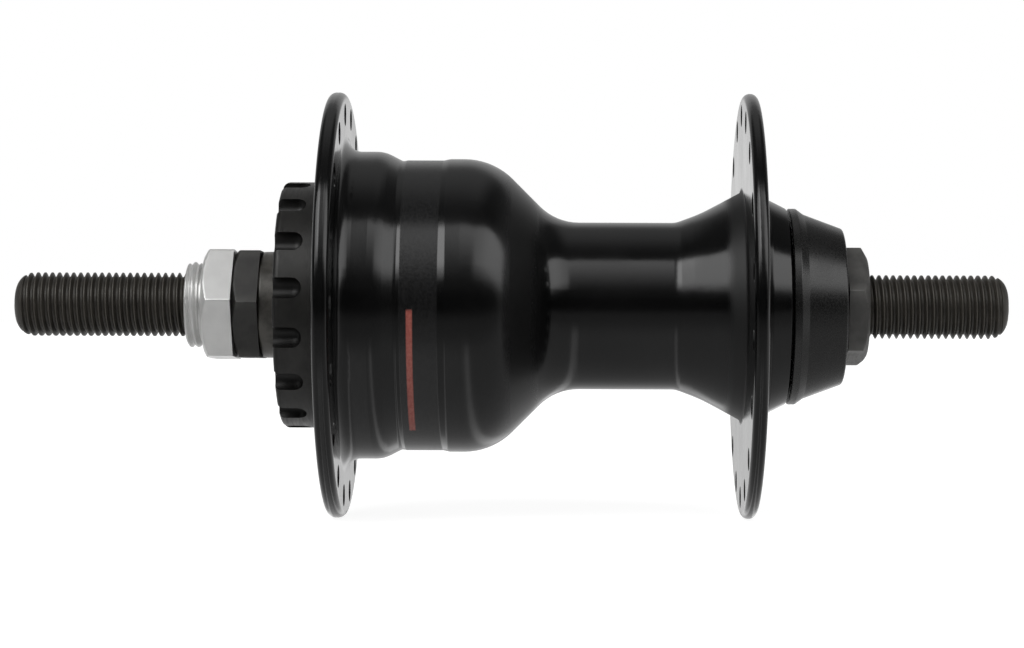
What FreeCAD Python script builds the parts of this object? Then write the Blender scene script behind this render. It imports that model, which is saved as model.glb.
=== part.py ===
"""Front bicycle hub for a roller brake, as an assembly of separate pieces.

The hub turns about the Y axis. The origin is the middle of the axle, the brake side is +Y, and Z is up.
Sizes are millimetres. A turned profile lists its corners as (radius, station along Y, rounding).
"""
import FreeCAD, Part
import math
import os
import re

import Sketcher
from FreeCAD import Placement, Rotation, Vector

SIZES = [
    # axle and what is clamped on it
    ("axle_length", 140.0, "tip to tip"),
    ("thread_radius", 4.5, "M9 x 1 thread, outside radius"),
    ("shank_radius", 4.175, "pitch radius of that thread, where cones and nuts sit, and the plain shank"),
    ("axle_tip_round", 2.5, "rounding of both tips"),
    ("thread_play", 0.05, "between a threaded bore and the axle, on the radius"),
    ("over_nuts", 100.0, "between the fork's inner faces, with the brake fitted"),
    ("nut_flats", 15.0, "across the flats of all three nuts"),
    ("left_nut_height", 3.7, "black lock nut"),
    ("right_nut_height", 3.0, "right lock nut"),
    ("fixing_nut_height", 4.3, "hexagon of the brake fixing nut"),
    ("nut_face_radius", 7.1, "flat circle inside the chamfer of a nut"),
    ("nut_bevel", 30.0, "slope of that chamfer, degrees"),
    ("nut_mouth", 0.3, "countersink at the mouth of a nut, beyond the thread"),
    ("left_nut_turn", 2.0, "corner of the black lock nut above the horizontal, degrees"),
    ("fixing_nut_turn", 4.0, "corner of the fixing nut above the horizontal, degrees"),
    ("right_nut_turn", 15.0, "corner of the right lock nut above the horizontal, degrees"),
    ("collar_radius", 6.05, "grooved collar of the fixing nut"),
    ("collar_neck_radius", 5.3, "neck between hexagon and collar"),
    ("collar_neck", 0.6, "length of that neck"),
    ("collar_length", 1.95, "length of the collar"),
    ("collar_groove", 0.35, "depth of the groove round the collar"),
    ("collar_groove_round", 0.15, "bottom of that groove"),
    ("collar_root_sink", 0.5, "how deep the collar's neck starts inside the hexagon"),
    ("edge_round", 0.4, "outer edges of cones, collar and driver tail"),
    ("small_round", 0.3, "other turned edges"),
    ("fine_round", 0.2, "edges of washers, seals and the cover"),
    ("overlap", 1.0, "how far a cut or a key starts beyond the face that it meets"),
    ("washer_thick", 1.0, "right lock washer"),
    ("washer_radius", 7.4, "right lock washer"),
    # bearings
    ("ball_radius", 2.381, "3/16 inch balls"),
    ("ball_count", 9, "balls in each retainer"),
    ("pitch_radius", 8.2, "circle of the ball centres"),
    ("race_play", 0.1, "between ball and race"),
    ("race_slope", 30.0, "slope of a race beyond its round part, degrees"),
    ("cone_radius", 7.5, "body of both cones"),
    ("cone_nose", 3.2, "from ball centre to the nose of a cone"),
    ("left_cone_stand", 3.1, "how far the left cone stands out of the driver"),
    ("cup_lip_radius", 7.6, "bore at the closed side of a cup"),
    ("cup_back", 4.0, "from ball centre to the back of a cup"),
    ("cup_reach", 3.2, "from ball centre to the open side of a cup"),
    ("cup_seat_radius", 12.2, "bore that a cup is pressed into"),
    ("cup_back_round", 0.6, "edge of a cup that enters its bore first"),
    ("press_play", 0.02, "left between pressed pieces, on the radius"),
    ("cage_near", 0.6, "from ball centre to the near face of a retainer"),
    ("cage_far", 3.0, "from ball centre to the far face of a retainer"),
    ("cage_gap", 0.4, "between a retainer and the cone or cup"),
    ("cage_play", 0.12, "between a retainer and its balls"),
    ("seal_thick", 1.0, "lip seals of both bearings"),
    ("seal_recess", 0.1, "how deep a lip seal sits in its mouth"),
    ("seal_gap", 0.3, "between a lip seal and what turns in it"),
    ("seal_cup_gap", 0.2, "between a lip seal and its cup"),
    # hub shell
    ("flange_radius", 30.0, "both spoke flanges"),
    ("left_flange_face", 25.6, "outer face of the left flange, along Y"),
    ("left_flange_thick", 2.3, "left flange"),
    ("right_flange_face", -34.4, "outer face of the right flange, along Y"),
    ("right_flange_thick", 2.0, "right flange"),
    ("flange_rim_round", 0.95, "rounding of both rims"),
    ("flange_fillet", 0.6, "fillets beside the right flange"),
    ("flange_root_round", 2.1, "fillet between the left flange and the barrel"),
    ("spoke_edge", 3.0, "from the circle of the spoke holes to the rim"),
    ("spoke_hole_radius", 1.3, "spoke holes"),
    ("spoke_hole_flare", 0.3, "countersink of a spoke hole"),
    ("spoke_count", 18, "spoke holes in each flange"),
    ("barrel_radius", 21.7, "barrel beside the left flange"),
    ("barrel_end", 17.95, "where the barrel starts to taper, along Y"),
    ("barrel_end_round", 4.5, "rounding at that taper"),
    ("band_radius", 20.5, "plain band round the barrel"),
    ("band_start", 15.4, "left edge of the band, along Y"),
    ("band_end", 9.6, "right edge of the band, along Y"),
    ("band_round", 0.8, "hollow roundings at both edges of the band"),
    ("band_groove", 0.12, "shallow groove beside the band"),
    ("band_groove_width", 0.7, "rise from that groove to the band"),
    ("dome_radius", 20.7, "bead between band and dome"),
    ("dome_start", 8.7, "left edge of the bead, along Y"),
    ("dome_start_round", 1.5, "rounding of that edge"),
    ("dome_corner", 2.72, "where the bead and the slope would meet, along Y"),
    ("dome_round", 9.6, "rounding of the dome"),
    ("slope_end", -6.2, "where the slope and the neck would meet, along Y"),
    ("neck_round", 7.85, "hollow rounding between slope and neck"),
    ("neck_radius", 11.8, "outside of the neck"),
    ("neck_end", -23.1, "where the neck starts to flare, along Y"),
    ("neck_end_round", 3.0, "hollow rounding at that flare"),
    ("flare_middle_radius", 13.1, "flare where it steepens"),
    ("flare_middle", -26.6, "where the flare steepens, along Y"),
    ("flare_middle_round", 20.0, "hollow rounding there"),
    ("flare_radius", 16.2, "flare at the right flange"),
    ("collar_root_radius", 15.2, "right collar beside its flange"),
    ("collar_root", 1.5, "length of that wider stretch"),
    ("right_collar_radius", 13.85, "right collar at its mouth"),
    ("right_collar_length", 4.2, "from the flange face to the mouth"),
    ("right_collar_round", 0.6, "rounding where the collar starts to narrow"),
    ("neck_bore_radius", 9.4, "bore through the neck"),
    ("barrel_floor", 4.0, "floor of that bore, along Y"),
    ("barrel_floor_round", 0.5, "corner of that floor"),
    # friction plates and springs
    ("key_count", 6, "keys on each set of plates"),
    ("keyway_depth", 1.2, "keyways in the barrel"),
    ("keyway_width", 4.0, "keyways in the barrel"),
    ("plate_play", 0.2, "between plates and what they slide in"),
    ("plate_gap", 0.1, "between neighbouring plates"),
    ("outer_plate_thick", 1.2, "steel plates keyed to the barrel"),
    ("outer_plate_count", 4, "steel plates"),
    ("inner_plate_thick", 1.6, "lined plates keyed to the driver"),
    ("sleeve_key_drop", 0.5, "keys on the driver's sleeve, below its journal"),
    ("sleeve_key_height", 0.9, "keys above that sleeve"),
    ("sleeve_key_width", 3.4, "keys on that sleeve"),
    ("spring_thick", 0.9, "disc springs"),
    ("spring_rise", 0.75, "height of a disc spring's cone"),
    # clutch cover, bushes and brake driver
    ("cover_lip_step", 0.6, "counterbore for the lip of the clutch cover, beyond the keyways"),
    ("cover_lip_thick", 1.6, "lip of the clutch cover"),
    ("cover_wall", 2.0, "clutch cover between its bush and the barrel"),
    ("cover_notch_radius", 1.5, "spanner notches in the clutch cover"),
    ("cover_notch_count", 4, "spanner notches"),
    ("cover_notch_depth", 1.0, "spanner notches"),
    ("journal_radius", 14.0, "driver inside the cover bush"),
    ("cover_bush_thick", 1.6, "bush between driver and clutch cover, on the radius"),
    ("running_play", 0.05, "running fit of the driver in its bushes"),
    ("cover_seal_thick", 0.6, "rubber ring between cover and driver"),
    ("cover_seal_round", 0.15, "edges of that rubber ring"),
    ("cover_bush_gap", 0.5, "between that rubber ring and the cover bush"),
    ("tail_radius", 8.6, "tail of the driver inside the neck bush"),
    ("neck_bush_radius", 9.9, "outside of the neck bush"),
    ("neck_bush_flange", 11.5, "flange of the neck bush"),
    ("neck_bush_flange_thick", 1.0, "flange of the neck bush"),
    ("neck_bush_length", 8.0, "neck bush below its flange"),
    ("tail_past_clip", 1.2, "driver beyond its circlip"),
    ("clip_thick", 1.0, "circlip"),
    ("clip_depth", 0.8, "circlip groove"),
    ("clip_proud", 0.6, "how far the circlip stands out of the tail"),
    ("clip_opening", 4.0, "gap between the circlip's ends"),
    ("driver_gap", 0.3, "between clutch cover and spline ring"),
    ("driver_bore_radius", 6.2, "bore of the driver round the axle"),
    ("spline_radius", 17.35, "spline ring"),
    ("spline_length", 6.2, "spline ring, along Y"),
    ("spline_edge_round", 0.85, "outer edge of the spline ring"),
    ("spline_back_round", 0.25, "edge beside the clutch cover"),
    ("spline_count", 16, "grooves of the spline ring"),
    ("spline_groove_radius", 1.45, "round bottom of a groove"),
    ("spline_groove_sink", 0.3, "centre of that round below the ring's surface"),
    ("spline_groove_length", 4.0, "groove from the outer face to its round end"),
    ("spline_turn", 7.5, "first groove above the horizontal, degrees"),
    # right dust cap
    ("cap_gap", 0.3, "between shell and dust cap"),
    ("cap_mouth_radius", 13.85, "rim beside the shell"),
    ("cap_rim", 1.05, "length of that rim"),
    ("cap_edge", 1.1, "length of the bevel behind the rim"),
    ("cap_edge_radius", 13.05, "cap behind that bevel"),
    ("cap_end_radius", 11.0, "cap at its outer end"),
    ("cap_end_gap", 0.4, "between the cap's end and the lock nut"),
    ("cap_wall", 1.3, "wall of the dust cap"),
    ("cap_grip", 4.0, "length that grips the cone"),
    ("cap_end_round", 0.5, "edge at the cap's outer end"),
]

os.makedirs("parts", exist_ok=True)
doc = FreeCAD.newDocument("RollerBrakeHub")
sheet = doc.addObject("Spreadsheet::Sheet", "Size")
for row, (alias, size, note) in enumerate(SIZES, start=1):
    sheet.set(f"A{row}", alias)
    sheet.set(f"B{row}", str(size))
    sheet.set(f"C{row}", note)
    sheet.setAlias(f"B{row}", alias)
doc.recompute()
ALIASES = {alias for alias, _, _ in SIZES}


# Expressions, sketches and features

def formula(text):
    """The expression for a size written with the sheet's names."""
    return re.sub(r"[a-z_]+", lambda word: "Size." + word[0] if word[0] in ALIASES else word[0], str(text))


def number(text):
    """What such an expression gives at present."""
    return float(sheet.evalExpression(formula(text)))


def new_body(label):
    body = doc.addObject("PartDesign::Body", label)
    body.Label = label
    return body


def new_sketch(body, name, role, station=None, turned=None):
    """A sketch on one of the body's planes. On XZ_Plane it faces -Y, and station moves it along Y.

    turned swings a sketch on XY_Plane about Y, in degrees.
    """
    sketch = body.newObject("Sketcher::SketchObject", name)
    plane = next(item for item in body.Origin.OriginFeatures if item.Role == role)
    sketch.AttachmentSupport = [(plane, "")]
    sketch.MapMode = "FlatFace"
    if station is not None:
        sketch.setExpression("AttachmentOffset.Base.z", formula(f"-({station})"))
    if turned is not None:
        sketch.AttachmentOffset = Placement(Vector(0, 0, 0), Rotation(Vector(0, 1, 0), number(turned)))
        sketch.setExpression("AttachmentOffset.Rotation.Angle", formula(turned))
    return sketch


def bind(sketch, constraints):
    """Adds the constraints, each with the expression that drives it, or None."""
    first = sketch.ConstraintCount
    sketch.addConstraint([constraint for constraint, _ in constraints])
    for index, (_, text) in enumerate(constraints, start=first):
        if text is not None:
            sketch.setExpression(f"Constraints[{index}]", formula(text))


def draw_axis(sketch, radius):
    """A construction line along Y at this radius, drawn first so that it is the sketch's own axis."""
    at = number(radius)
    line = sketch.addGeometry(Part.LineSegment(Vector(at, -1, 0), Vector(at, 1, 0)), True)
    bind(sketch, [
        (Sketcher.Constraint("DistanceX", -1, 1, line, 1, at), radius),
        (Sketcher.Constraint("Vertical", line), None),
        (Sketcher.Constraint("DistanceY", -1, 1, line, 1, -1), None),
        (Sketcher.Constraint("DistanceY", -1, 1, line, 2, 1), None),
    ])


def draw_circle(sketch, radius, centre="0"):
    """A circle with its centre on the sketch's horizontal axis."""
    at = number(centre)
    circle = sketch.addGeometry(Part.Circle(Vector(at, 0, 0), Vector(0, 0, 1), number(radius)), False)
    bind(sketch, [
        (Sketcher.Constraint("DistanceX", -1, 1, circle, 3, at), centre),
        (Sketcher.Constraint("DistanceY", -1, 1, circle, 3, 0), None),
        (Sketcher.Constraint("Radius", circle, number(radius)), radius),
    ])


def rounded_corner(before, corner, after, radius):
    """Tangent points and centre of an arc that rounds a corner."""
    back = (before - corner).normalize()
    ahead = (after - corner).normalize()
    half = back.getAngle(ahead) / 2
    run = radius / math.tan(half)
    centre = corner + (back + ahead).normalize() * (radius / math.sin(half))
    return corner + back * run, corner + ahead * run, centre


def draw_outline(sketch, corners):
    """A closed outline of straight lines, with a tangent arc at each corner that has a rounding."""
    points = [Vector(number(corner[0]), number(corner[1]), 0) for corner in corners]
    rounds = [corner[2] if len(corner) > 2 else None for corner in corners]
    count = len(points)
    starts, ends, arcs = list(points), list(points), {}
    for here, radius in enumerate(rounds):
        if radius is not None:
            beyond = points[(here + 1) % count]
            around = rounded_corner(points[here - 1], points[here], beyond, number(radius))
            ends[here], starts[here], arcs[here] = around
    lines = [
        sketch.addGeometry(Part.LineSegment(starts[here], ends[(here + 1) % count]), False)
        for here in range(count)
    ]
    constraints = []
    for here in range(count):
        before, after, point = lines[here - 1], lines[here], points[here]
        place = (after, 1)
        if here in arcs:
            centre, first, last = arcs[here], ends[here], starts[here]
            turns_left = ((first - centre).cross(last - centre)).z > 0
            if not turns_left:
                first, last = last, first
            angles = [math.atan2((end - centre).y, (end - centre).x) for end in (first, last)]
            circle = Part.Circle(centre, Vector(0, 0, 1), number(rounds[here]))
            arc = sketch.addGeometry(Part.ArcOfCircle(circle, angles[0], angles[1]), False)
            mark = sketch.addGeometry(Part.Point(point), True)
            place = (mark, 1)
            entry, leave = (1, 2) if turns_left else (2, 1)
            constraints += [
                (Sketcher.Constraint("Tangent", before, 2, arc, entry), None),
                (Sketcher.Constraint("Tangent", arc, leave, after, 1), None),
                (Sketcher.Constraint("PointOnObject", mark, 1, before), None),
                (Sketcher.Constraint("PointOnObject", mark, 1, after), None),
                (Sketcher.Constraint("Radius", arc, number(rounds[here])), rounds[here]),
            ]
        else:
            constraints.append((Sketcher.Constraint("Coincident", before, 2, after, 1), None))
        constraints += [
            (Sketcher.Constraint("DistanceX", -1, 1, *place, point.x), corners[here][0]),
            (Sketcher.Constraint("DistanceY", -1, 1, *place, point.y), corners[here][1]),
        ]
    bind(sketch, constraints)


def draw_half_ball(sketch, radius, about, station):
    """Half the outline of a ball beside the axis through its centre."""
    size, middle, height = number(radius), number(about), number(station)
    circle = Part.Circle(Vector(middle, height, 0), Vector(0, 0, 1), size)
    arc = sketch.addGeometry(Part.ArcOfCircle(circle, -math.pi / 2, math.pi / 2), False)
    low, high = Vector(middle, height - size, 0), Vector(middle, height + size, 0)
    chord = sketch.addGeometry(Part.LineSegment(high, low), False)
    bind(sketch, [
        (Sketcher.Constraint("Coincident", arc, 2, chord, 1), None),
        (Sketcher.Constraint("Coincident", chord, 2, arc, 1), None),
        (Sketcher.Constraint("PointOnObject", arc, 3, chord), None),
        (Sketcher.Constraint("Vertical", chord), None),
        (Sketcher.Constraint("Radius", arc, size), radius),
        (Sketcher.Constraint("DistanceX", -1, 1, arc, 3, middle), about),
        (Sketcher.Constraint("DistanceY", -1, 1, arc, 3, height), station),
    ])


def add_feature(body, kind, name, grows, **settings):
    """A feature at the end of the body, tested to add or remove material as meant."""
    doc.recompute()
    before = body.Shape.Volume if body.Tip and not body.Shape.isNull() else 0.0
    feature = body.newObject(kind, name)
    for key, value in settings.items():
        setattr(feature, key, value)
    body.Tip = feature
    doc.recompute()
    change = body.Shape.Volume - before
    if (change > 0) != grows or abs(change) < 1e-4:
        raise ValueError(f"{body.Label}: {name} changed the volume by {change:.4f} mm3")
    return feature


def turn(body, name, corners, grows=True, about=None, turned=None):
    """Turns an outline about the hub's axis, or about a line along Y at the radius in about."""
    sketch = new_sketch(body, name + "Profile", "XY_Plane", turned=turned)
    axis = "V_Axis"
    if about is not None:
        draw_axis(sketch, about)
        axis = "Axis0"
    draw_outline(sketch, corners)
    return revolve(body, name, sketch, axis, grows)


def turn_ball(body, name, radius, about, station, grows=True):
    """Adds or cuts a ball whose centre lies at a radius and a station along Y."""
    sketch = new_sketch(body, name + "Profile", "XY_Plane")
    draw_axis(sketch, about)
    draw_half_ball(sketch, radius, about, station)
    return revolve(body, name, sketch, "Axis0", grows)


def revolve(body, name, sketch, axis, grows):
    kind = "PartDesign::Revolution" if grows else "PartDesign::Groove"
    return add_feature(body, kind, name, grows, Profile=sketch, ReferenceAxis=(sketch, [axis]), Angle=360)


def extrude(body, name, sketch, length, grows=True):
    """Carries a sketch on XZ_Plane along +Y, as a pad or as a pocket."""
    doc.recompute()
    kind = "PartDesign::Pad" if grows else "PartDesign::Pocket"
    feature = add_feature(body, kind, name, grows, Profile=sketch, Reversed=grows, Length=number(length))
    feature.setExpression("Length", formula(length))
    return feature


def repeat(body, feature, count, axis="V_Axis"):
    """Repeats a feature round the hub's axis."""
    grows = feature.TypeId not in ("PartDesign::Groove", "PartDesign::Pocket")
    sketch = feature.Profile[0]
    pattern = add_feature(
        body, "PartDesign::PolarPattern", feature.Name + "Ring", grows,
        Originals=[feature], Axis=(sketch, [axis]), Angle=360, Occurrences=int(number(count)))
    pattern.setExpression("Occurrences", formula(count))
    return pattern


def block(body, name, station, near, far, width, length, grows=True):
    """A bar along Y from radius near to radius far, as a pad or as a pocket."""
    sketch = new_sketch(body, name + "Profile", "XZ_Plane", station)
    low, high = f"-({width}) / 2", f"({width}) / 2"
    draw_outline(sketch, [(near, low), (far, low), (far, high), (near, high)])
    return extrude(body, name, sketch, length, grows)


def place(body, station="0", turned="0"):
    """Moves a body along Y and turns it about Y, by the sheet."""
    body.Placement = Placement(Vector(0, number(station), 0), Rotation(Vector(0, 1, 0), number(turned)))
    if station != "0":
        body.setExpression("Placement.Base.y", formula(station))
    if turned != "0":
        body.setExpression("Placement.Rotation.Angle", formula(turned))


def ring(label, inner, outer, low, high, edge=None):
    """A plain ring between two radii and two stations, with rounded outer corners if edge is given."""
    body = new_body(label)
    rounding = () if edge is None else (edge,)
    turn(body, "Ring", [(inner, low), (outer, low) + rounding, (outer, high) + rounding, (inner, high)])
    return body


# Stations along Y that several pieces share

DRIVER_FACE = "(left_flange_face + driver_gap + spline_length)"
SHELL_MOUTH = "(right_flange_face - right_collar_length)"
SEAT_DEPTH = "(seal_recess + seal_thick + seal_cup_gap + cup_reach)"
LEFT_BALLS = f"({DRIVER_FACE} - {SEAT_DEPTH})"
RIGHT_BALLS = f"({SHELL_MOUTH} + {SEAT_DEPTH})"
LEFT_CONE_END = f"({DRIVER_FACE} + left_cone_stand)"
LEFT_NUT_END = f"({LEFT_CONE_END} + left_nut_height)"
FIXING_NUT_END = f"({LEFT_NUT_END} + fixing_nut_height + collar_neck + collar_length)"
RIGHT_NUT_END = "(-over_nuts / 2)"
RIGHT_NUT_START = f"({RIGHT_NUT_END} + right_nut_height)"
RIGHT_CONE_END = f"({RIGHT_NUT_START} + washer_thick)"
THREAD_BORE = "(shank_radius + thread_play)"
CUP_OUTSIDE = "(cup_seat_radius - press_play)"
RACE = "(ball_radius + race_play)"
THREAD_MOUTH = "(thread_radius + nut_mouth)"
SPOKE_CIRCLE = "(flange_radius - spoke_edge)"
COVER_BORE = "(journal_radius + cover_bush_thick)"
BARREL_BORE = f"({COVER_BORE} + cover_wall)"
KEYWAY_RADIUS = f"({BARREL_BORE} + keyway_depth)"
COVER_LIP = f"({KEYWAY_RADIUS} + cover_lip_step)"
SLEEVE_KEYS = "(journal_radius - sleeve_key_drop)"
SLEEVE = f"({SLEEVE_KEYS} - sleeve_key_height)"
PLATE_PAIR = "(outer_plate_thick + inner_plate_thick + 2 * plate_gap)"
PLATES_END = f"(barrel_floor + outer_plate_count * {PLATE_PAIR} - inner_plate_thick)"
SPRING_STEP = "(spring_rise + spring_thick + plate_gap)"
COVER_START = f"({PLATES_END} + 2 * {SPRING_STEP})"
COVER_LIP_START = "(left_flange_face - cover_lip_thick)"
BUSH_END = "(barrel_floor - neck_bush_length)"
SLEEVE_END = "(barrel_floor + neck_bush_flange_thick + plate_gap)"
CLIP_START = f"({BUSH_END} - plate_gap)"


# Axle and what is clamped on it

def make_axle():
    """The free thread has its outside radius, and what nuts and cones cover has its pitch radius."""
    axle = new_body("axle")
    left, right = "(axle_length / 2)", "(-axle_length / 2)"
    turn(axle, "Shaft", [
        ("0", right), ("thread_radius", right, "axle_tip_round"),
        ("thread_radius", RIGHT_NUT_END), ("shank_radius", RIGHT_NUT_END),
        ("shank_radius", FIXING_NUT_END), ("thread_radius", FIXING_NUT_END),
        ("thread_radius", left, "axle_tip_round"), ("0", left),
    ])


def countersink(nut, name, face, inward):
    """Opens the mouth of a nut's thread at one face. inward is 1 or -1 along Y."""
    turn(nut, name, [
        ("shank_radius", face), (THREAD_MOUTH, face),
        ("shank_radius", f"{face} + {inward} * ({THREAD_MOUTH} - shank_radius)"),
    ], grows=False)


def make_hex_nut(label, start, height, turned, chamfers, mouths=("low", "high")):
    """A hexagon round the axle. chamfers and mouths name the bevelled and the countersunk faces."""
    nut = new_body(label)
    sketch = new_sketch(nut, "Hexagon", "XZ_Plane")
    corner = "nut_flats / sqrt(3)"
    draw_outline(sketch, [
        (f"{corner} * cos({angle})", f"{corner} * sin({angle})") for angle in range(0, 360, 60)
    ])
    draw_circle(sketch, THREAD_BORE)
    extrude(nut, "Hex", sketch, height)
    tip = f"({corner} + overlap)"
    bevel = f"({tip} - nut_face_radius) * tan(nut_bevel)"
    faces = {"low": ("0", bevel), "high": (height, f"{height} - {bevel}")}
    for side in chamfers:
        face, inner = faces[side]
        edge = [("nut_face_radius", face), (tip, face), (tip, inner)]
        turn(nut, side.capitalize() + "Bevel", edge, grows=False)
    for side in mouths:
        inward = "1" if side == "low" else "-1"
        countersink(nut, side.capitalize() + "Mouth", faces[side][0], inward)
    place(nut, start, turned)
    return nut


def make_fixing_nut():
    """The bright nut: a hexagon bevelled on both faces, a neck and a collar with a groove round it."""
    nut = make_hex_nut(
        "brake_fixing_nut", LEFT_NUT_END, "fixing_nut_height", "fixing_nut_turn", ["low", "high"], ["low"])
    neck_start = "(fixing_nut_height - collar_root_sink)"
    neck_end = "(fixing_nut_height + collar_neck)"
    collar_end = f"({neck_end} + collar_length)"
    middle = f"({neck_end} + collar_length / 2)"
    turn(nut, "Collar", [
        (THREAD_BORE, neck_start), ("collar_neck_radius", neck_start),
        ("collar_neck_radius", neck_end), ("collar_radius", f"{neck_end} + small_round", "fine_round"),
        ("collar_radius", f"{middle} - collar_groove"),
        ("collar_radius - collar_groove", middle, "collar_groove_round"),
        ("collar_radius", f"{middle} + collar_groove"),
        ("collar_radius", collar_end, "edge_round"), (THREAD_BORE, collar_end),
    ])
    countersink(nut, "CollarMouth", collar_end, "-1")


def make_cone(label, balls, side, end):
    """A cone whose race is a hollow round of the balls' size, facing inwards along the axle."""
    cone = new_body(label)
    nose = f"{balls} - {side} * cone_nose"
    low = f"(pitch_radius - {RACE})"
    bend = f"{RACE} * tan(race_slope)"
    rise = f"(cone_radius - {low}) * tan(race_slope)"
    turn(cone, "Race", [
        (THREAD_BORE, nose), (low, nose), (low, f"{balls} + {side} * ({bend})", RACE),
        ("cone_radius", f"{balls} + {side} * ({bend} + {rise})"), ("cone_radius", end, "edge_round"),
        (THREAD_BORE, end),
    ])


def make_dust_cap():
    """Conical cap that grips the right cone and shields the mouth of the shell."""
    cap = new_body("right_dust_cap")
    mouth = f"({SHELL_MOUTH} - cap_gap)"
    end = f"({RIGHT_NUT_START} + cap_end_gap)"
    grip = "(cone_radius + thread_play)"
    floor = f"({end} + cap_wall)"
    turn(cap, "Cap", [
        (grip, end), ("cap_end_radius", end, "cap_end_round"),
        ("cap_edge_radius", f"{mouth} - cap_rim - cap_edge", "fine_round"),
        ("cap_mouth_radius", f"{mouth} - cap_rim", "small_round"),
        ("cap_mouth_radius", mouth, "fine_round"), ("cap_mouth_radius - cap_wall", mouth),
        ("cap_end_radius - cap_wall", floor), (f"{grip} + cap_wall", floor),
        (f"{grip} + cap_wall", f"{end} + cap_grip"), (grip, f"{end} + cap_grip"),
    ])


# Bearings

def make_cup(label, balls, side):
    """A cup whose race faces outwards along the axle, against its cone."""
    cup = new_body(label)
    high = f"(pitch_radius + {RACE})"
    bend = f"{RACE} * tan(race_slope)"
    drop = f"({high} - cup_lip_radius) * tan(race_slope)"
    back, mouth = f"{balls} - {side} * cup_back", f"{balls} + {side} * cup_reach"
    turn(cup, "Race", [
        ("cup_lip_radius", back), (CUP_OUTSIDE, back, "cup_back_round"),
        (CUP_OUTSIDE, mouth, "small_round"), (high, mouth), (high, f"{balls} - {side} * {bend}", RACE),
        ("cup_lip_radius", f"{balls} - {side} * ({bend} + {drop})"),
    ])


def make_balls(label, balls):
    group = new_body(label)
    group.AllowCompound = True
    ball = turn_ball(group, "Ball", "ball_radius", "pitch_radius", balls)
    repeat(group, ball, "ball_count")


def make_retainer(label, balls, side):
    """A crown that keeps the balls apart: a ring with a round pocket for each ball."""
    near, far = f"{balls} + {side} * cage_near", f"{balls} + {side} * cage_far"
    crown = ring(label, "cone_radius + cage_gap", f"pitch_radius + {RACE} - cage_gap", near, far)
    pocket = turn_ball(crown, "Pocket", "ball_radius + cage_play", "pitch_radius", balls, grows=False)
    repeat(crown, pocket, "ball_count")


def make_seal(label, mouth, side):
    """A rubber lip seal sunk into the mouth that holds the cup."""
    outer, inner = f"{mouth} - {side} * seal_recess", f"{mouth} - {side} * (seal_recess + seal_thick)"
    ring(label, "cone_radius + seal_gap", CUP_OUTSIDE, inner, outer, "fine_round")


def make_bearing(name, balls, side, mouth, cone_end):
    make_cone(f"{name}_cone", balls, side, cone_end)
    make_cup(f"{name}_cup", balls, side)
    make_balls(f"{name}_balls", balls)
    make_retainer(f"{name}_ball_retainer", balls, side)
    make_seal(f"{name}_seal", mouth, side)


# Hub shell

def make_spoke_holes(shell, name, face, thick, side, turned=None):
    """Countersunk spoke holes through one flange, whose outer face looks to the given side."""
    inner = f"({face} - {side} * {thick})"
    flare, beyond = f"{side} * spoke_hole_flare", f"{side} * fine_round"
    edge = f"({SPOKE_CIRCLE} + spoke_hole_radius)"
    wide = f"({edge} + spoke_hole_flare + fine_round)"
    hole = turn(shell, name, [
        (SPOKE_CIRCLE, f"{face} + {beyond}"), (wide, f"{face} + {beyond}"),
        (edge, f"{face} - {flare}"), (edge, f"{inner} + {flare}"),
        (wide, f"{inner} - {beyond}"), (SPOKE_CIRCLE, f"{inner} - {beyond}"),
    ], grows=False, about=SPOKE_CIRCLE, turned=turned)
    repeat(shell, hole, "spoke_count")


def make_shell():
    """Flanges, barrel, dome and neck in one turned profile, with keyways in the barrel."""
    shell = new_body("hub_shell")
    left_inner = "(left_flange_face - left_flange_thick)"
    right_inner = "(right_flange_face + right_flange_thick)"
    cup_floor = f"({RIGHT_BALLS} + cup_back)"
    turn(shell, "Shell", [
        (COVER_LIP, "left_flange_face"),
        ("flange_radius", "left_flange_face", "flange_rim_round"),
        ("flange_radius", left_inner, "flange_rim_round"),
        ("barrel_radius", left_inner, "flange_root_round"),
        ("barrel_radius", "barrel_end", "barrel_end_round"),
        ("band_radius - band_groove", "band_start", "band_round"),
        ("band_radius", "band_start - band_groove_width", "band_round"),
        ("band_radius", "band_end", "band_round"),
        ("dome_radius", "dome_start", "dome_start_round"),
        ("dome_radius", "dome_corner", "dome_round"),
        ("neck_radius", "slope_end", "neck_round"),
        ("neck_radius", "neck_end", "neck_end_round"),
        ("flare_middle_radius", "flare_middle", "flare_middle_round"),
        ("flare_radius", right_inner, "flange_fillet"),
        ("flange_radius", right_inner, "flange_rim_round"),
        ("flange_radius", "right_flange_face", "flange_rim_round"),
        ("collar_root_radius", "right_flange_face", "flange_fillet"),
        ("collar_root_radius", "right_flange_face - collar_root", "right_collar_round"),
        ("right_collar_radius", SHELL_MOUTH, "small_round"),
        ("cup_seat_radius", SHELL_MOUTH),
        ("cup_seat_radius", cup_floor),
        ("neck_bore_radius", cup_floor),
        ("neck_bore_radius", BUSH_END),
        ("neck_bush_radius + press_play", BUSH_END),
        ("neck_bush_radius + press_play", "barrel_floor"),
        (BARREL_BORE, "barrel_floor", "barrel_floor_round"),
        (BARREL_BORE, COVER_LIP_START),
        (COVER_LIP, COVER_LIP_START),
    ])
    keyway = block(
        shell, "Keyway", "barrel_floor", f"{BARREL_BORE} - overlap", KEYWAY_RADIUS, "keyway_width",
        f"{COVER_LIP_START} - barrel_floor", grows=False)
    repeat(shell, keyway, "key_count", "N_Axis")
    make_spoke_holes(shell, "LeftSpokes", "left_flange_face", "left_flange_thick", "1")
    half_pitch = "180 / spoke_count"
    make_spoke_holes(shell, "RightSpokes", "right_flange_face", "right_flange_thick", "-1", half_pitch)


# Friction plates and springs

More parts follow.
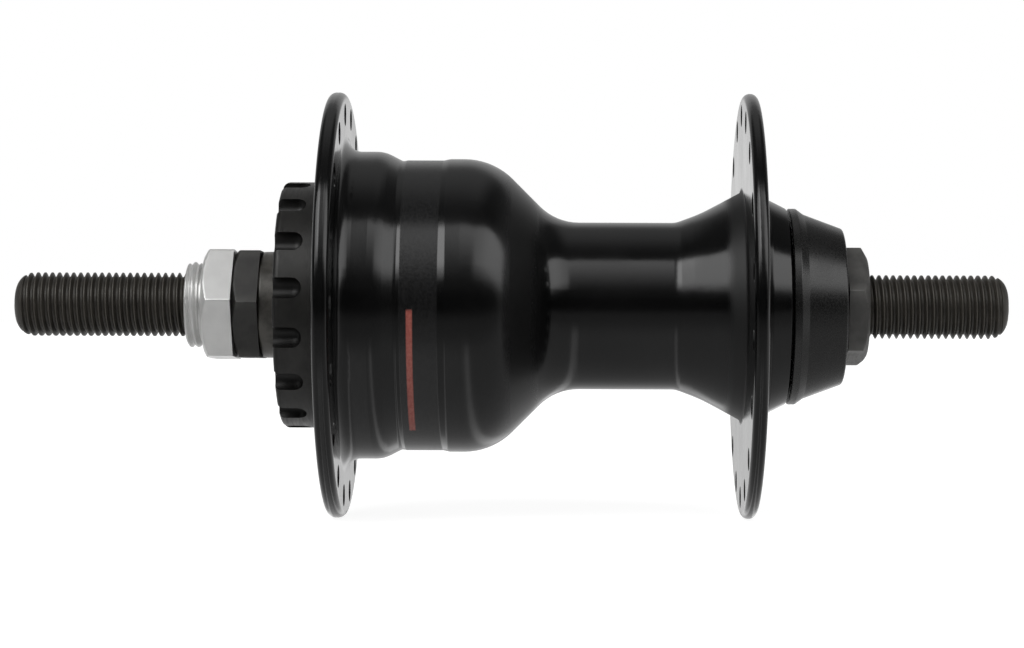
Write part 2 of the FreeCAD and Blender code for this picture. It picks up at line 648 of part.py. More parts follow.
def make_plates():
    """Steel and lined plates in turn, from the barrel's floor outwards, then two disc springs."""
    count = int(number("outer_plate_count"))
    for index in range(count):
        plate = ring(f"outer_plate_{index + 1}", f"{SLEEVE_KEYS} + plate_play * 2",
                     f"{BARREL_BORE} - plate_play", "0", "outer_plate_thick")
        tab = block(plate, "Tab", "0", f"{BARREL_BORE} - overlap", f"{KEYWAY_RADIUS} - plate_play",
                    "keyway_width - plate_play", "outer_plate_thick")
        repeat(plate, tab, "key_count", "N_Axis")
        place(plate, f"barrel_floor + plate_gap + {index} * {PLATE_PAIR}")
    for index in range(count - 1):
        plate = ring(f"inner_plate_{index + 1}", f"{SLEEVE} + plate_play / 2",
                     f"{BARREL_BORE} - plate_play * 2", "0", "inner_plate_thick")
        notch = block(plate, "Notch", "0", f"{SLEEVE} - overlap", f"{SLEEVE_KEYS} + plate_play",
                      "sleeve_key_width + plate_play", "inner_plate_thick", grows=False)
        repeat(plate, notch, "key_count", "N_Axis")
        first = "barrel_floor + outer_plate_thick + 2 * plate_gap"
        place(plate, f"{first} + {index} * {PLATE_PAIR}", "spline_turn")
    make_spring("disc_spring_1", PLATES_END, "0", "spring_rise")
    make_spring("disc_spring_2", f"{PLATES_END} + {SPRING_STEP}", "spring_rise", "0")


def make_spring(label, station, outer_rise, inner_rise):
    spring = new_body(label)
    inner, outer = "(journal_radius + plate_play)", f"({BARREL_BORE} - plate_play * 2)"
    turn(spring, "Disc", [
        (inner, inner_rise), (outer, outer_rise), (outer, f"{outer_rise} + spring_thick"),
        (inner, f"{inner_rise} + spring_thick"),
    ])
    place(spring, station)


# Clutch cover, bushes and brake driver

def make_cover():
    """The ring that closes the barrel, with its bush, its rubber ring and notches for a pin spanner."""
    cover = new_body("clutch_cover")
    outer = f"({BARREL_BORE} - running_play)"
    lip = f"({COVER_LIP} - press_play)"
    turn(cover, "Cover", [
        (COVER_BORE, COVER_START), (outer, COVER_START, "small_round"), (outer, COVER_LIP_START),
        (lip, COVER_LIP_START), (lip, "left_flange_face", "fine_round"),
        (COVER_BORE, "left_flange_face"),
    ])
    notch = new_sketch(cover, "NotchProfile", "XZ_Plane", "left_flange_face - cover_notch_depth")
    draw_circle(notch, "cover_notch_radius", COVER_LIP)
    cut = extrude(cover, "Notch", notch, "cover_notch_depth + overlap", grows=False)
    repeat(cover, cut, "cover_notch_count", "N_Axis")
    bush_outside = f"{COVER_BORE} - press_play"
    seal_start = "(left_flange_face - cover_seal_thick)"
    ring("cover_bush", "journal_radius + running_play", bush_outside, f"{COVER_START} + plate_gap",
         f"{seal_start} - cover_bush_gap")
    ring("cover_seal", "journal_radius + seal_gap", bush_outside, seal_start, "left_flange_face",
         "cover_seal_round")


def make_neck_bush():
    bush = new_body("neck_bush")
    bore, outside = "(tail_radius + running_play)", "neck_bush_radius"
    top = "barrel_floor + neck_bush_flange_thick"
    turn(bush, "Bush", [
        (bore, BUSH_END), (outside, BUSH_END), (outside, "barrel_floor"),
        ("neck_bush_flange", "barrel_floor"), ("neck_bush_flange", top, "small_round"), (bore, top),
    ])


def make_driver():
    """Spline ring outside, journal in the cover bush, keyed sleeve in the plates, tail in the neck bush."""
    driver = new_body("brake_driver")
    ring_back = "(left_flange_face + driver_gap)"
    clip_inner = "tail_radius - clip_depth"
    clip_end = f"({CLIP_START} - clip_thick - plate_gap)"
    tail_end = f"({clip_end} - tail_past_clip)"
    cup_floor = f"({LEFT_BALLS} - cup_back)"
    turn(driver, "Driver", [
        ("cup_seat_radius", DRIVER_FACE), ("spline_radius", DRIVER_FACE, "spline_edge_round"),
        ("spline_radius", ring_back, "spline_back_round"), ("journal_radius", ring_back),
        ("journal_radius", COVER_START), (SLEEVE, COVER_START),
        (SLEEVE, SLEEVE_END), ("tail_radius", SLEEVE_END),
        ("tail_radius", CLIP_START), (clip_inner, CLIP_START), (clip_inner, clip_end),
        ("tail_radius", clip_end), ("tail_radius", tail_end, "edge_round"),
        ("driver_bore_radius", tail_end), ("driver_bore_radius", cup_floor), ("cup_seat_radius", cup_floor),
    ])
    key = block(
        driver, "Key", SLEEVE_END, f"{SLEEVE} - overlap", SLEEVE_KEYS, "sleeve_key_width",
        f"{COVER_START} - {SLEEVE_END}")
    repeat(driver, key, "key_count", "N_Axis")
    middle = "(spline_radius - spline_groove_sink)"
    side = f"{middle} + spline_groove_radius"
    bottom = f"{DRIVER_FACE} - spline_groove_length"
    groove = turn(driver, "Spline", [
        (middle, f"{DRIVER_FACE} + overlap"), (side, f"{DRIVER_FACE} + overlap"),
        (side, bottom, "spline_groove_radius * 0.95"), (middle, bottom),
    ], grows=False, about=middle)
    repeat(driver, groove, "spline_count")
    place(driver, turned="spline_turn")


def make_circlip():
    """Open ring in the groove at the driver's tail."""
    clip = ring("driver_circlip", "tail_radius - clip_depth + running_play", "tail_radius + clip_proud",
                f"{CLIP_START} - clip_thick - plate_gap / 2", f"{CLIP_START} - plate_gap / 2")
    block(clip, "Opening", f"{CLIP_START} - clip_thick - overlap", "tail_radius - clip_depth - overlap",
          "tail_radius + clip_proud + overlap", "clip_opening", "clip_thick + 2 * overlap", grows=False)


# The hub

make_axle()
make_bearing("left", LEFT_BALLS, "1", DRIVER_FACE, LEFT_CONE_END)
make_bearing("right", RIGHT_BALLS, "-1", SHELL_MOUTH, RIGHT_CONE_END)
make_hex_nut("left_lock_nut", LEFT_CONE_END, "left_nut_height", "left_nut_turn", ["low", "high"])
make_fixing_nut()
ring("right_lock_washer", THREAD_BORE, "washer_radius", RIGHT_NUT_START, RIGHT_CONE_END, "fine_round")
make_hex_nut("right_lock_nut", RIGHT_NUT_END, "right_nut_height", "right_nut_turn", ["low"])
make_dust_cap()
make_shell()
make_plates()
make_cover()
make_neck_bush()
make_driver()
make_circlip()
doc.recompute()

bodies = [item for item in doc.Objects if item.TypeId == "PartDesign::Body"]
for item in doc.Objects:
    if "Invalid" in item.State or "Error" in item.State:
        raise ValueError(f"{item.Label}: {item.State}")
for body in bodies:
    if body.Shape.isNull() or not body.Shape.isValid():
        raise ValueError(f"{body.Label} has no valid shape")
for body in bodies:
    body.Shape.exportStep(os.path.join("parts", body.Label + ".step"))
    box = body.Shape.BoundBox
    print(f"{body.Label:22s} solids {len(body.Shape.Solids):2d}  volume {body.Shape.Volume:9.1f} mm3  "
          f"y {box.YMin:7.2f} to {box.YMax:7.2f}  radius {box.XMax:5.2f}")
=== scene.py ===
import math

import bpy
from mathutils import Matrix


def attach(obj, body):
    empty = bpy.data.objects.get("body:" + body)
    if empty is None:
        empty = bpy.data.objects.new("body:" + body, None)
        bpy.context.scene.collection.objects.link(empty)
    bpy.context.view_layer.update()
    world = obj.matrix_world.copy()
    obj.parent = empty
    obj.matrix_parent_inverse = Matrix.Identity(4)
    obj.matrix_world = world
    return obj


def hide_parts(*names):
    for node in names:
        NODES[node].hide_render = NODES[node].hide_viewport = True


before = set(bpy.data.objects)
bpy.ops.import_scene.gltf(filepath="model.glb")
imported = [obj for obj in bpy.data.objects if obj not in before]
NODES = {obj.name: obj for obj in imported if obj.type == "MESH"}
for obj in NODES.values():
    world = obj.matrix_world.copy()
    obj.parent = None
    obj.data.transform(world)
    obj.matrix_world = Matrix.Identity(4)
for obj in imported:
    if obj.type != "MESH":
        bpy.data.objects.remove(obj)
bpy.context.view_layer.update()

MM = 0.001


# Node graphs

class Graph:
    """Builds one node tree. Values may be numbers, colours or another node's output."""

    def __init__(self, tree):
        self.tree = tree
        self.tree.nodes.clear()

    def node(self, kind, values=(), **settings):
        """A new node, with values for its inputs by name or number."""
        made = self.tree.nodes.new(kind)
        for key, value in settings.items():
            setattr(made, key, value)
        for key, value in dict(values).items():
            self.put(made.inputs[key], value)
        return made

    def put(self, socket, value):
        if isinstance(value, bpy.types.NodeSocket):
            self.tree.links.new(value, socket)
        elif socket.type == "RGBA" and len(value) == 3:
            socket.default_value = (*value, 1.0)
        else:
            socket.default_value = value

    def math(self, operation, first, second=0.0, clamp=False):
        made = self.node("ShaderNodeMath", {0: first, 1: second}, operation=operation, use_clamp=clamp)
        return made.outputs[0]

    def add(self, first, second):
        return self.math("ADD", first, second)

    def times(self, first, second):
        return self.math("MULTIPLY", first, second)

    def step(self, value, start, end, low=0.0, high=1.0):
        """Runs smoothly from low to high while the value runs from start to end."""
        values = enumerate((value, start, end, low, high))
        return self.node("ShaderNodeMapRange", values, interpolation_type="SMOOTHSTEP").outputs[0]

    def between(self, value, low, high, soft):
        """1 while the value lies between low and high, 0 outside, with soft edges."""
        rise = self.step(value, low - soft, low + soft)
        fall = self.step(value, high - soft, high + soft, 1.0, 0.0)
        return self.times(rise, fall)

    def turn(self, x, z):
        """The angle round the hub's axis, in radians: 0 towards the camera, a quarter turn straight up."""
        return self.math("ARCTAN2", z, self.times(x, -1.0))

    def mix(self, factor, first, second):
        """Blends two colours."""
        made = self.node("ShaderNodeMix", {0: factor, 6: first, 7: second}, data_type="RGBA")
        return made.outputs[2]

    def noise(self, vector, scale, detail=2.0, roughness=0.5):
        values = {"Vector": vector, "Scale": scale, "Detail": detail, "Roughness": roughness}
        return self.node("ShaderNodeTexNoise", values).outputs["Fac"]

    def bump(self, height, strength, distance):
        values = {"Height": height, "Strength": strength, "Distance": distance}
        return self.node("ShaderNodeBump", values).outputs[0]


class Finish(Graph):
    """A material with one principled shader and coordinates in millimetres from the hub's centre."""

    def __init__(self, name):
        self.material = bpy.data.materials.new(name)
        self.material.use_nodes = True
        super().__init__(self.material.node_tree)
        output = self.node("ShaderNodeOutputMaterial")
        self.shader = self.node("ShaderNodeBsdfPrincipled")
        self.tree.links.new(self.shader.outputs[0], output.inputs[0])
        place = self.node("ShaderNodeTexCoord").outputs["Object"]
        scaled = self.node("ShaderNodeVectorMath", {0: place, 1: (1 / MM,) * 3}, operation="MULTIPLY")
        self.place = scaled.outputs[0]
        self.x, self.y, self.z = self.node("ShaderNodeSeparateXYZ", {0: self.place}).outputs
        self.radius = self.math("SQRT", self.add(self.times(self.x, self.x), self.times(self.z, self.z)))

    def ring_place(self, along, around):
        """Coordinates that stretch a texture round the hub's axis: radius, station and a slow turn."""
        values = (self.times(self.radius, along), self.times(self.y, along), self.times(self.z, around))
        return self.node("ShaderNodeCombineXYZ", enumerate(values)).outputs[0]

    def set(self, **values):
        """Sets the shader's inputs, with an underscore for each space in their names."""
        for key, value in values.items():
            self.put(self.shader.inputs[key.replace("_", " ")], value)
        return self.material


# Finishes

BAND = (9.62, 14.75)
BAND_RADII = (19.5, 20.0)
STRIPE = (12.92, 13.74)
STRIPE_ARCS = ((-57, -2), (123, 178))
# Stations of the hollow between the dome and the neck, where a lighter black is painted light and the
# paint is rougher
PAINTED_LIGHT_HOLLOW = (-4.0, 1.0)
ROOT_FADE = (-31.0, -29.3)
ROOT_END = (-33.6, -33.2)
ROOT_RADII = (16.3, 16.9)


def shell_finish():
    """Gloss black paint, satin on the band, with a thin red line near the band's left edge, and painted
    light: lighter, rougher paint in the hollow between the dome and the neck.
    """
    f = Finish("shell_gloss_black")
    outside = f.step(f.radius, *BAND_RADII)
    band = f.times(f.between(f.y, *BAND, 0.10), outside)
    turn = f.turn(f.x, f.z)
    front, opposite = [f.between(turn, *map(math.radians, arc), 0.012) for arc in STRIPE_ARCS]
    line = f.times(f.between(f.y, *STRIPE, 0.09), f.math("ADD", front, opposite, clamp=True))
    line = f.times(line, outside)
    painted_light_hollow = f.between(f.y, *PAINTED_LIGHT_HOLLOW, 1.6)
    root = f.times(f.step(f.y, *ROOT_FADE, 1.0, 0.0), f.step(f.y, *ROOT_END))
    root = f.times(root, f.step(f.radius, *ROOT_RADII, 1.0, 0.0))

    cloud = f.noise(f.place, 0.11, 3.0)
    speck = f.noise(f.place, 2.6, 2.0, 0.6)
    peel = f.noise(f.place, 0.85, 2.0, 0.45)
    black = f.mix(f.step(cloud, 0.3, 0.7), (0.0016, 0.0017, 0.0018), (0.0028, 0.0028, 0.0029))
    # Painted light: a lighter black in the hollow between the dome and the neck stands in for light that
    # the gloss there does not reflect
    black = f.mix(painted_light_hollow, black, (0.0080, 0.0080, 0.0081))
    satin = f.mix(f.step(speck, 0.35, 0.65), (0.0050, 0.0050, 0.0052), (0.0085, 0.0085, 0.0088))
    red = f.mix(f.step(speck, 0.35, 0.65), (0.290, 0.070, 0.055), (0.360, 0.105, 0.082))
    gloss = f.add(f.step(cloud, 0.3, 0.75, 0.135, 0.185), f.step(speck, 0.55, 0.8, 0.0, 0.05))
    gloss = f.add(gloss, f.add(f.times(painted_light_hollow, 0.14), f.times(root, 0.34)))
    satin_gloss = f.step(speck, 0.3, 0.7, 0.21, 0.27)
    return f.set(
        Base_Color=f.mix(line, f.mix(band, black, satin), red),
        Roughness=f.add(f.times(gloss, f.math("SUBTRACT", 1.0, band)), f.times(satin_gloss, band)),
        Specular_IOR_Level=0.5,
        Normal=f.bump(f.add(peel, f.times(f.times(speck, 0.35), band)), 0.30, 0.00002),
    )


def oxide_finish(name, dark, worn, gloss, rubbed=None, metallic=0.85):
    """Blackened steel, a little brown, with bare metal where it is rubbed: outside the given radii,
    of which the first is where the wear begins, or else in patches."""
    f = Finish(name)
    patch = f.noise(f.place, 0.35, 4.0, 0.6)
    grain = f.noise(f.ring_place(3.0, 0.6), 1.6, 3.0, 0.6)
    if rubbed:
        wear = f.times(f.step(f.radius, *rubbed), f.step(patch, 0.35, 0.62, 0.35, 1.0))
    else:
        wear = f.step(f.noise(f.place, 1.1, 4.0, 0.65), 0.55, 0.78)
    colour = f.mix(f.step(patch, 0.3, 0.7), dark, tuple(0.62 * c for c in dark))
    return f.set(
        Base_Color=f.mix(f.times(wear, 0.75), colour, worn),
        Roughness=f.add(f.step(grain, 0.3, 0.7, gloss - 0.06, gloss + 0.08), f.times(wear, -0.06)),
        Metallic=metallic,
        Normal=f.bump(f.add(grain, patch), 0.22, 0.00003),
    )


def bright_finish(name, colour, gloss, tint=0.85, metallic=1.0, spread=0.035):
    """Bright plated or ground metal with fine turning marks round the axis."""
    f = Finish(name)
    marks = f.noise(f.ring_place(1.6, 0.12), 1.1, 2.0, 0.5)
    stain = f.noise(f.place, 0.4, 3.0)
    marked = f.step(marks, 0.3, 0.7, gloss - spread, gloss + spread)
    return f.set(
        Base_Color=f.mix(f.step(stain, 0.3, 0.75), colour, tuple(tint * c for c in colour)),
        Roughness=f.add(marked, f.step(stain, 0.5, 0.8, 0.0, 0.05)),
        Metallic=metallic,
        Normal=f.bump(marks, 0.10, 0.00002),
    )


def soft_finish(name, first, second, gloss, scale, depth):
    """Rubber, moulded plastic or friction lining, with a fine grain."""
    f = Finish(name)
    grain = f.noise(f.place, scale, 4.0, 0.6)
    cloud = f.noise(f.place, 0.2, 2.0)
    grained = f.step(grain, 0.3, 0.7, gloss - 0.05, gloss + 0.05)
    return f.set(
        Base_Color=f.mix(f.step(grain, 0.3, 0.7), first, second),
        Roughness=f.add(grained, f.step(cloud, 0.4, 0.7, 0.0, 0.06)),
        Normal=f.bump(grain, 0.35, depth),
    )


NUT_CORNERS = (7.9, 8.6)
FINISHES = {
    "shell_paint": shell_finish(),
    "driver_steel": oxide_finish(
        "driver_oxide", (0.0095, 0.0092, 0.0085), (0.026, 0.025, 0.023), 0.42, (17.22, 17.36), 0.25),
    "black_oxide_steel": oxide_finish(
        "axle_oxide", (0.054, 0.049, 0.041), (0.088, 0.081, 0.070), 0.46, (4.36, 4.5), 0.25),
    "black_nut_steel": oxide_finish(
        "nut_oxide", (0.030, 0.029, 0.027), (0.060, 0.058, 0.054), 0.45, NUT_CORNERS, 0.2),
    "cover_steel": oxide_finish("cover_oxide", (0.030, 0.030, 0.030), (0.12, 0.12, 0.115), 0.42),
    "zinc_steel": bright_finish("zinc_plate", (0.70, 0.70, 0.69), 0.33, 0.92, 0.50, 0.008),
    "bearing_steel": bright_finish("ground_bearing_steel", (0.52, 0.52, 0.53), 0.16),
    "ball_steel": bright_finish("ball_steel_polish", (0.60, 0.60, 0.61), 0.10),
    "retainer_steel": bright_finish("retainer_pressed_steel", (0.42, 0.41, 0.39), 0.30),
    "plate_steel": bright_finish("plate_ground_steel", (0.38, 0.38, 0.38), 0.34),
    "bronze": bright_finish("bush_bronze", (0.48, 0.30, 0.14), 0.30),
    "friction_lining": soft_finish(
        "lining_woven", (0.085, 0.050, 0.030), (0.15, 0.095, 0.060), 0.75, 2.2, 0.00006),
    "seal_rubber": soft_finish(
        "seal_black_rubber", (0.014, 0.014, 0.014), (0.022, 0.022, 0.022), 0.55, 3.0, 0.00003),
    "black_plastic": soft_finish(
        "cap_satin_black", (0.007, 0.007, 0.007), (0.012, 0.012, 0.0115), 0.25, 4.5, 0.00001),
}
CONE_OXIDE = oxide_finish(
    "cone_oxide", (0.024, 0.022, 0.019), (0.110, 0.104, 0.092), 0.40, (6.6, 7.4), 0.25)
WORN_NUT_OXIDE = oxide_finish(
    "nut_oxide_worn", (0.094, 0.092, 0.088), (0.130, 0.128, 0.122), 0.45, NUT_CORNERS, 0.2)


def finish_nodes():
    """Gives every node the finish of its slot, and the two cones their own."""
    for name, node in NODES.items():
        for place in node.material_slots:
            slot = place.material.name.split(".")[0]
            if name in ("left_cone", "right_cone"):
                place.material = CONE_OXIDE
            elif slot in FINISHES:
                place.material = FINISHES[slot]


# Mesh pieces

AROUND = 96


def new_piece(name, body, slot, vertices, faces, sharp):
    """A mesh from points in millimetres, smooth but for edges sharper than the angle in degrees."""
    mesh = bpy.data.meshes.new(name)
    mesh.from_pydata([tuple(c * MM for c in point) for point in vertices], [], faces)
    mesh.validate()
    mesh.shade_smooth()
    mesh.set_sharp_from_angle(angle=math.radians(sharp))
    mesh.materials.append(FINISHES[slot])
    piece = bpy.data.objects.new(name, mesh)
    bpy.context.scene.collection.objects.link(piece)
    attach(piece, body)
    return piece


def rows_to_faces(rows, around):
    """Quads between rows of points that go once round the axis, triangles where corners coincide.
    A row may have one point more than there are steps round the axis, where it ends beside its start."""
    vertices, index, faces = [], {}, []

    def number_of(point):
        key = tuple(round(c, 5) for c in point)
        if key not in index:
            index[key] = len(vertices)
            vertices.append(point)
        return index[key]

    ids = [[number_of(point) for point in row] for row in rows]
    for low, high in zip(ids, ids[1:]):
        for here in range(around):
            after = here + 1
            corners = [low[here], low[after % len(low)], high[after % len(high)], high[here]]
            unique = list(dict.fromkeys(corners))
            if len(unique) > 2:
                faces.append(tuple(unique))
    return vertices, faces


def at(angle, radius, station):
    """The point at an angle from +Z towards +X, a radius from the axis and a station along it."""
    return (radius * math.sin(angle), station, radius * math.cos(angle))


def plain_row(radius, station, angles):
    return [at(angle, radius, station) for angle in angles]


# Axle

PITCH = 1.0
CREST, ROOT = 4.5, 3.887
CREST_FLAT, ROOT_FLAT = 0.125, 0.25
FLANK = (1.0 - CREST_FLAT - ROOT_FLAT) / 2
SHANK_RADIUS = 4.175
TIP_ROUND = 2.5
AXLE_END = 70.0
RIGHT_THREAD = (-AXLE_END, -47.4)
LEFT_THREAD = (35.4, AXLE_END)


def thread_radius(part):
    """The thread's profile, with part running from 0 to 1 along one pitch."""
    part %= 1.0
    if part < CREST_FLAT:
        return CREST
    if part < CREST_FLAT + FLANK:
        return CREST - (CREST - ROOT) * (part - CREST_FLAT) / FLANK
    if part < 1.0 - FLANK:
        return ROOT
    return ROOT + (CREST - ROOT) * (part - 1.0 + FLANK) / FLANK


def tip_radius(station):
    """The rounded ends of the axle."""
    into = AXLE_END - abs(station)
    if into >= TIP_ROUND:
        return CREST
    depth = TIP_ROUND - max(into, 0.0)
    return CREST - TIP_ROUND + math.sqrt(max(TIP_ROUND ** 2 - depth ** 2, 0.0))


def threaded_rows(low, high):
    """Rows that follow the helix, cut off square at both ends of the thread."""
    parts = [0.0, CREST_FLAT / 2, CREST_FLAT]
    parts += [CREST_FLAT + FLANK * k / 3 for k in (1, 2, 3)]
    parts += [CREST_FLAT + FLANK + ROOT_FLAT / 2, 1.0 - FLANK]
    parts += [1.0 - FLANK + FLANK * k / 3 for k in (1, 2)]
    rows = []
    for turn in range(int(low) - 2, int(high) + 2):
        for part in parts:
            row = []
            for here in range(AROUND + 1):
                angle = 2 * math.pi * here / AROUND
                station = PITCH * (turn + part + here / AROUND)
                held = min(max(station, low), high)
                crest = part if held == station else held / PITCH - here / AROUND
                row.append(at(angle, min(thread_radius(crest), tip_radius(held)), held))
            rows.append(row)
    return rows


def make_axle():
    """Both threads, and the plain shank between them, as one closed mesh."""
    ring = [2 * math.pi * here / AROUND for here in range(AROUND)]
    rows = [[at(0, 0, -AXLE_END)] * AROUND]
    rows += threaded_rows(*RIGHT_THREAD)
    rows += [plain_row(SHANK_RADIUS, station, ring) for station in (RIGHT_THREAD[1], LEFT_THREAD[0])]
    rows += threaded_rows(*LEFT_THREAD)
    rows += [[at(0, 0, AXLE_END)] * AROUND]
    vertices, faces = rows_to_faces(rows, AROUND)
    axle = new_piece("axle_threaded", "axle_set", "black_oxide_steel", vertices, faces, sharp=28)
    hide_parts("axle")


# Nuts

APOTHEM = 7.5
FACE_RADIUS = 7.1
BEVEL = math.tan(math.radians(30))
CORNER_SHARPNESS = 170.0
EDGE_SOFTNESS = 0.16
BORE = 4.56
MOUTH = 4.95
MOUTH_DEPTH = 0.4
LEFT_NUT = (35.2, 38.9)
FIXING_NUT = (38.9, 43.2)
RIGHT_NUT = (-50.0, -47.0)
LEFT_CORNER, FIXING_CORNER, RIGHT_CORNER = 2.0, 4.0, 15.0


def soft_min(first, second, soft):
    """The smaller of two lengths, with the corner between them rounded."""
    gap = max(soft - abs(first - second), 0.0) / soft
    return min(first, second) - gap * gap * soft / 4


def hex_radius(angle, corner):
    """Distance from the axis to a hexagon with rounded corners, one of them at the given angle."""
    facing = [math.cos(angle - corner - math.pi / 6 - k * math.pi / 3) for k in range(6)]
    most = max(facing)
    total = sum(math.exp(CORNER_SHARPNESS * (value - most)) for value in facing)
    return APOTHEM / (most + math.log(total) / CORNER_SHARPNESS)


def nut_angles(corner):
    """Angles round a nut, closer together near its corners."""
    offsets = [0, 0.5, 1, 1.5, 2.1, 3, 4.5, 7, 11, 16, 22, 30]
    turns = {k * 60 + sign * offset for k in range(6) for offset in offsets for sign in (-1, 1)}
    unique = sorted({round(turn % 360, 4) for turn in turns})
    return [corner + math.radians(turn) for turn in unique]


def nut_rows(start, end, corner, bevels, angles):
    """Rows of a hexagonal nut from its low face to its high face, without its ends."""
    near = [0.0, 0.04, 0.1, 0.2, 0.32, 0.45, 0.6, 0.75, 0.9, 1.1]
    length = end - start
    stations = sorted({start + k for k in near} | {end - k for k in near} | {start + length / 2})
    rows = []
    for station in stations:
        row = []
        for angle in angles:
            radius = hex_radius(angle, corner)
            if "low" in bevels:
                radius = soft_min(radius, FACE_RADIUS + (station - start) / BEVEL, EDGE_SOFTNESS)
            if "high" in bevels:
                radius = soft_min(radius, FACE_RADIUS + (end - station) / BEVEL, EDGE_SOFTNESS)
            row.append(at(angle, radius, station))
        rows.append(row)
    return rows


def bore_rows(start, end, angles):
    """Rows of a bore with a countersink at both ends, from its high end to its low end."""
    places = ((MOUTH, end), (BORE, end - MOUTH_DEPTH), (BORE, start + MOUTH_DEPTH), (MOUTH, start))
    return [plain_row(radius, station, angles) for radius, station in places]


def make_nut(name, node, slot, start, end, corner, bevels):
    """A hexagonal nut with a countersunk bore. The corner is an angle above the horizontal."""
    corner = math.radians(corner - 90)
    angles = nut_angles(corner)
    rows = [plain_row(MOUTH, start, angles)]
    rows += nut_rows(start, end, corner, bevels, angles)
    rows += bore_rows(start, end, angles)
    vertices, faces = rows_to_faces(rows, len(angles))
    piece = new_piece(name, "axle_set", slot, vertices, faces, sharp=24)
    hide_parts(node)
    return piece


NECK_RADIUS = 5.3
COLLAR = (43.8, 45.75)
COLLAR_FOOT, COLLAR_ROOT, COLLAR_CREST = 5.4, 5.62, 6.05
COLLAR_PITCH = 0.98
COLLAR_ROUNDS = (0.35, 0.45)
COLLAR_STEPS = 40


def collar_rows(angles):
    """Rows of a short round collar with two turns of a rounded ridge."""
    low, high = COLLAR
    rows = []
    for k in range(COLLAR_STEPS + 1):
        station = low + (high - low) * k / COLLAR_STEPS
        edge = min((station - low) / COLLAR_ROUNDS[0], (high - station) / COLLAR_ROUNDS[1], 1.0)
        rise = math.sqrt(max(1 - (1 - edge) ** 2, 0.0))
        row = []
        for angle in angles:
            phase = (station - low) / COLLAR_PITCH - angle / (2 * math.pi)
            wave = 0.5 + 0.5 * math.cos(2 * math.pi * phase)
            crest = COLLAR_ROOT + (COLLAR_CREST - COLLAR_ROOT) * wave ** 0.8
            row.append(at(angle, COLLAR_FOOT + (crest - COLLAR_FOOT) * rise, station))
        rows.append(row)
    return rows


def make_fixing_nut():
    """The bright nut, with a neck and a collar on its outer side."""
    corner = math.radians(FIXING_CORNER - 90)
    start, end = FIXING_NUT
    angles = nut_angles(corner)
    rows = [plain_row(MOUTH, start, angles)]
    rows += nut_rows(start, end, corner, ("high",), angles)
    fillet = ((0.15, end), (0.04, end + 0.05), (0.0, end + 0.15), (0.0, COLLAR[0]))
    rows += [plain_row(NECK_RADIUS + more, station, angles) for more, station in fillet]
    rows += collar_rows(angles)
    rows += bore_rows(start, COLLAR[1], angles)
    vertices, faces = rows_to_faces(rows, len(angles))
    piece = new_piece("fixing_nut_ridged", "axle_set", "zinc_steel", vertices, faces, sharp=32)
    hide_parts("brake_fixing_nut")


# Floor, light and camera

FLOOR = -0.030
FLOOR_REACH = 6.0


def make_floor():
    """A pale floor that the camera sees almost white and that no reflection shows."""
    mesh = bpy.data.meshes.new("floor")
    corners = [(-1, -1), (1, -1), (1, 1), (-1, 1)]
    mesh.from_pydata([(x * FLOOR_REACH, y * FLOOR_REACH, FLOOR) for x, y in corners], [], [(0, 1, 2, 3)])
    floor = bpy.data.objects.new("floor", mesh)
    bpy.context.scene.collection.objects.link(floor)
    material = bpy.data.materials.new("pale_floor")
    material.use_nodes = True
    g = Graph(material.node_tree)
    output = g.node("ShaderNodeOutputMaterial")
    plain = g.node("ShaderNodeBsdfDiffuse", {"Color": (0.80, 0.80, 0.80)})
    lit = g.node("ShaderNodeEmission", {"Color": (1.0, 1.0, 1.0), "Strength": 1.53})
    both = g.node("ShaderNodeMixShader", {0: 0.60, 1: plain.outputs[0], 2: lit.outputs[0]})
    camera_ray = g.node("ShaderNodeLightPath").outputs["Is Camera Ray"]
    choice = g.node("ShaderNodeMixShader", {0: camera_ray, 1: plain.outputs[0], 2: both.outputs[0]})
    g.tree.links.new(choice.outputs[0], output.inputs[0])
    mesh.materials.append(material)
    floor.visible_glossy = False


def lamp_light(g, degrees, side, away):
    """Two wide soft lamps above the camera, with a dimmer gap between them and a curved upper edge."""
    left = g.times(g.step(side, 0.10, 0.30, 0.0, 4.4), g.step(side, 0.82, 0.88, 1.0, 0.0))
    left = g.times(left, g.step(side, 0.42, 0.62, 1.0, 0.58))
    right = g.times(g.step(side, -0.42, -0.26, 1.70, 0.0), g.step(side, -0.97, -0.93))
    right = g.times(right, g.step(side, -0.70, -0.40, 1.28, 1.0))
    lamps = g.times(g.add(left, right), g.step(degrees, 18.0, 37.0))
    gap = g.times(g.step(side, -0.42, -0.26), g.step(side, 0.046, 0.064, 1.0, 0.45))
    gap = g.times(gap, g.step(side, 0.09, 0.14, 1.0, 0.0))
    gap = g.times(gap, g.step(degrees, 16.0, 76.0, 0.0, 1.9))
    lean = g.times(g.math("MAXIMUM", g.add(away, -0.3), 0.0), 30.0)
    under = g.add(degrees, g.times(lean, -1.0))
    return g.times(g.add(lamps, gap), g.step(under, 63.5, 67.0, 1.0, 0.0))


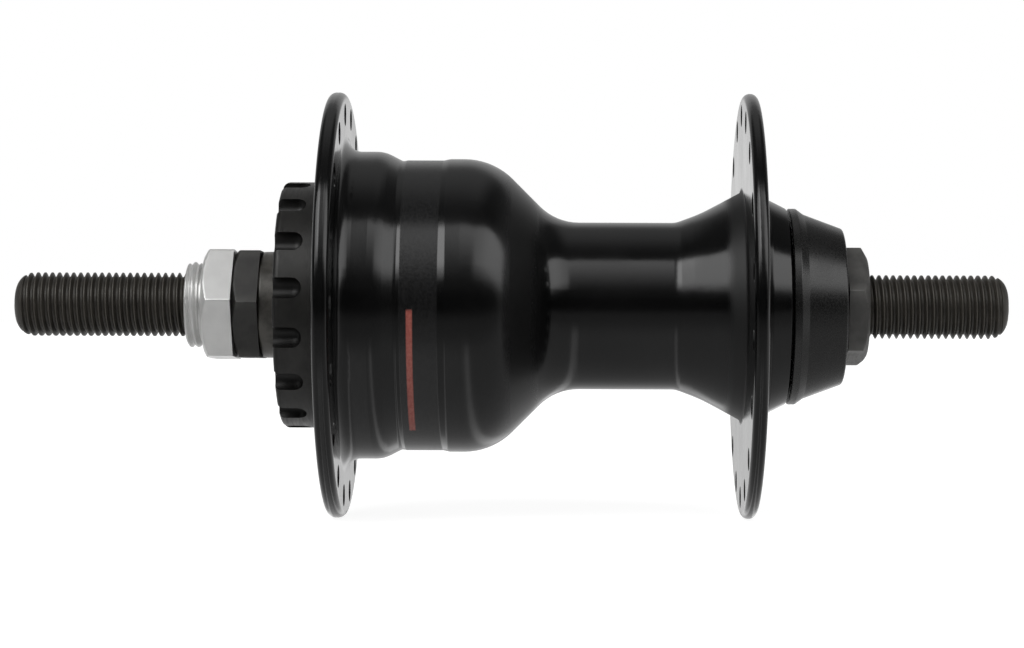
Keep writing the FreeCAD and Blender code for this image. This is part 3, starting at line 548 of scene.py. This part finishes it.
def room_light(g, degrees, side, away):
    """What the dim room round the lamps gives off, as a list of parts."""
    wall = g.times(g.step(degrees, 9.0, 14.0, 0.03, 0.08), g.step(away, 0.15, 0.45, 1.0, 0.6))
    ceiling = g.times(g.step(degrees, 74.0, 108.0, 0.0, 0.25), g.step(degrees, 112.0, 130.0, 1.0, 0.75))
    ceiling = g.times(ceiling, g.step(away, 0.22, 0.50, 1.0, 0.12))
    far_wall = g.step(degrees, 168.0, 178.0, 0.0, 0.45)
    near_floor = g.step(degrees, -14.0, -3.0, 0.19, 0.0)
    middle_floor = g.step(degrees, -46.0, -14.0, 0.18, 0.0)
    far_floor = g.step(degrees, -178.0, -120.0, 0.34, 0.0)
    beside = g.times(g.step(away, 0.105, 0.125), g.step(away, 0.20, 0.25, 1.0, 0.0))
    beside = g.times(beside, g.step(degrees, -42.0, -24.0, 0.55, 0.0))
    far_ceiling = g.step(degrees, 133.0, 150.0, 0.0, 0.29)
    right_wall = g.step(side, -0.97, -0.88, 0.25, 0.0)
    return [wall, ceiling, far_wall, near_floor, middle_floor, far_floor, beside, far_ceiling, right_wall]


def make_studio():
    """A studio that shows in the hub's gloss, while the camera itself sees plain white."""
    world = bpy.data.worlds.new("studio")
    bpy.context.scene.world = world
    world.use_nodes = True
    g = Graph(world.node_tree)
    direction = g.node("ShaderNodeTexCoord").outputs["Generated"]
    x, side, z = g.node("ShaderNodeSeparateXYZ", {0: direction}).outputs
    degrees = g.times(g.turn(x, z), 180 / math.pi)
    away = g.math("ABSOLUTE", side)
    level = lamp_light(g, degrees, side, away)
    for part in room_light(g, degrees, side, away):
        level = g.add(level, part)
    seen = g.node("ShaderNodeLightPath").outputs["Is Camera Ray"]
    strength = g.add(g.times(level, g.math("SUBTRACT", 1.0, seen)), seen)
    background = g.node("ShaderNodeBackground", {"Color": (1.0, 1.0, 1.0), "Strength": strength})
    output = g.node("ShaderNodeOutputWorld")
    g.tree.links.new(background.outputs[0], output.inputs[0])


CAMERA_PLACE = (-0.367, -0.0085, -0.001)
CAMERA_ROLL = 0.2


def make_camera():
    """A camera level with the axle, on the side that the photograph shows."""
    data = bpy.data.cameras.new("camera")
    data.sensor_width = 36.0
    data.lens = 91.1
    data.shift_x = -0.0586
    data.shift_y = -0.0108
    data.clip_start = 0.01
    data.clip_end = 50.0
    camera = bpy.data.objects.new("camera", data)
    bpy.context.scene.collection.objects.link(camera)
    camera.matrix_world = (
        Matrix.Translation(CAMERA_PLACE)
        @ Matrix.Rotation(math.radians(-90), 4, "Z")
        @ Matrix.Rotation(math.radians(90), 4, "X")
        @ Matrix.Rotation(math.radians(CAMERA_ROLL), 4, "Z")
    )
    bpy.context.scene.camera = camera


finish_nodes()
make_axle()
make_nut("left_lock_nut_hex", "left_lock_nut", "black_nut_steel", *LEFT_NUT, LEFT_CORNER, ("high",))
right_nut = make_nut(
    "right_lock_nut_hex", "right_lock_nut", "black_nut_steel", *RIGHT_NUT, RIGHT_CORNER, ("low",))
right_nut.data.materials[0] = WORN_NUT_OXIDE
make_fixing_nut()
make_floor()
make_studio()
make_camera()
bpy.context.scene.view_settings.view_transform = "Standard"
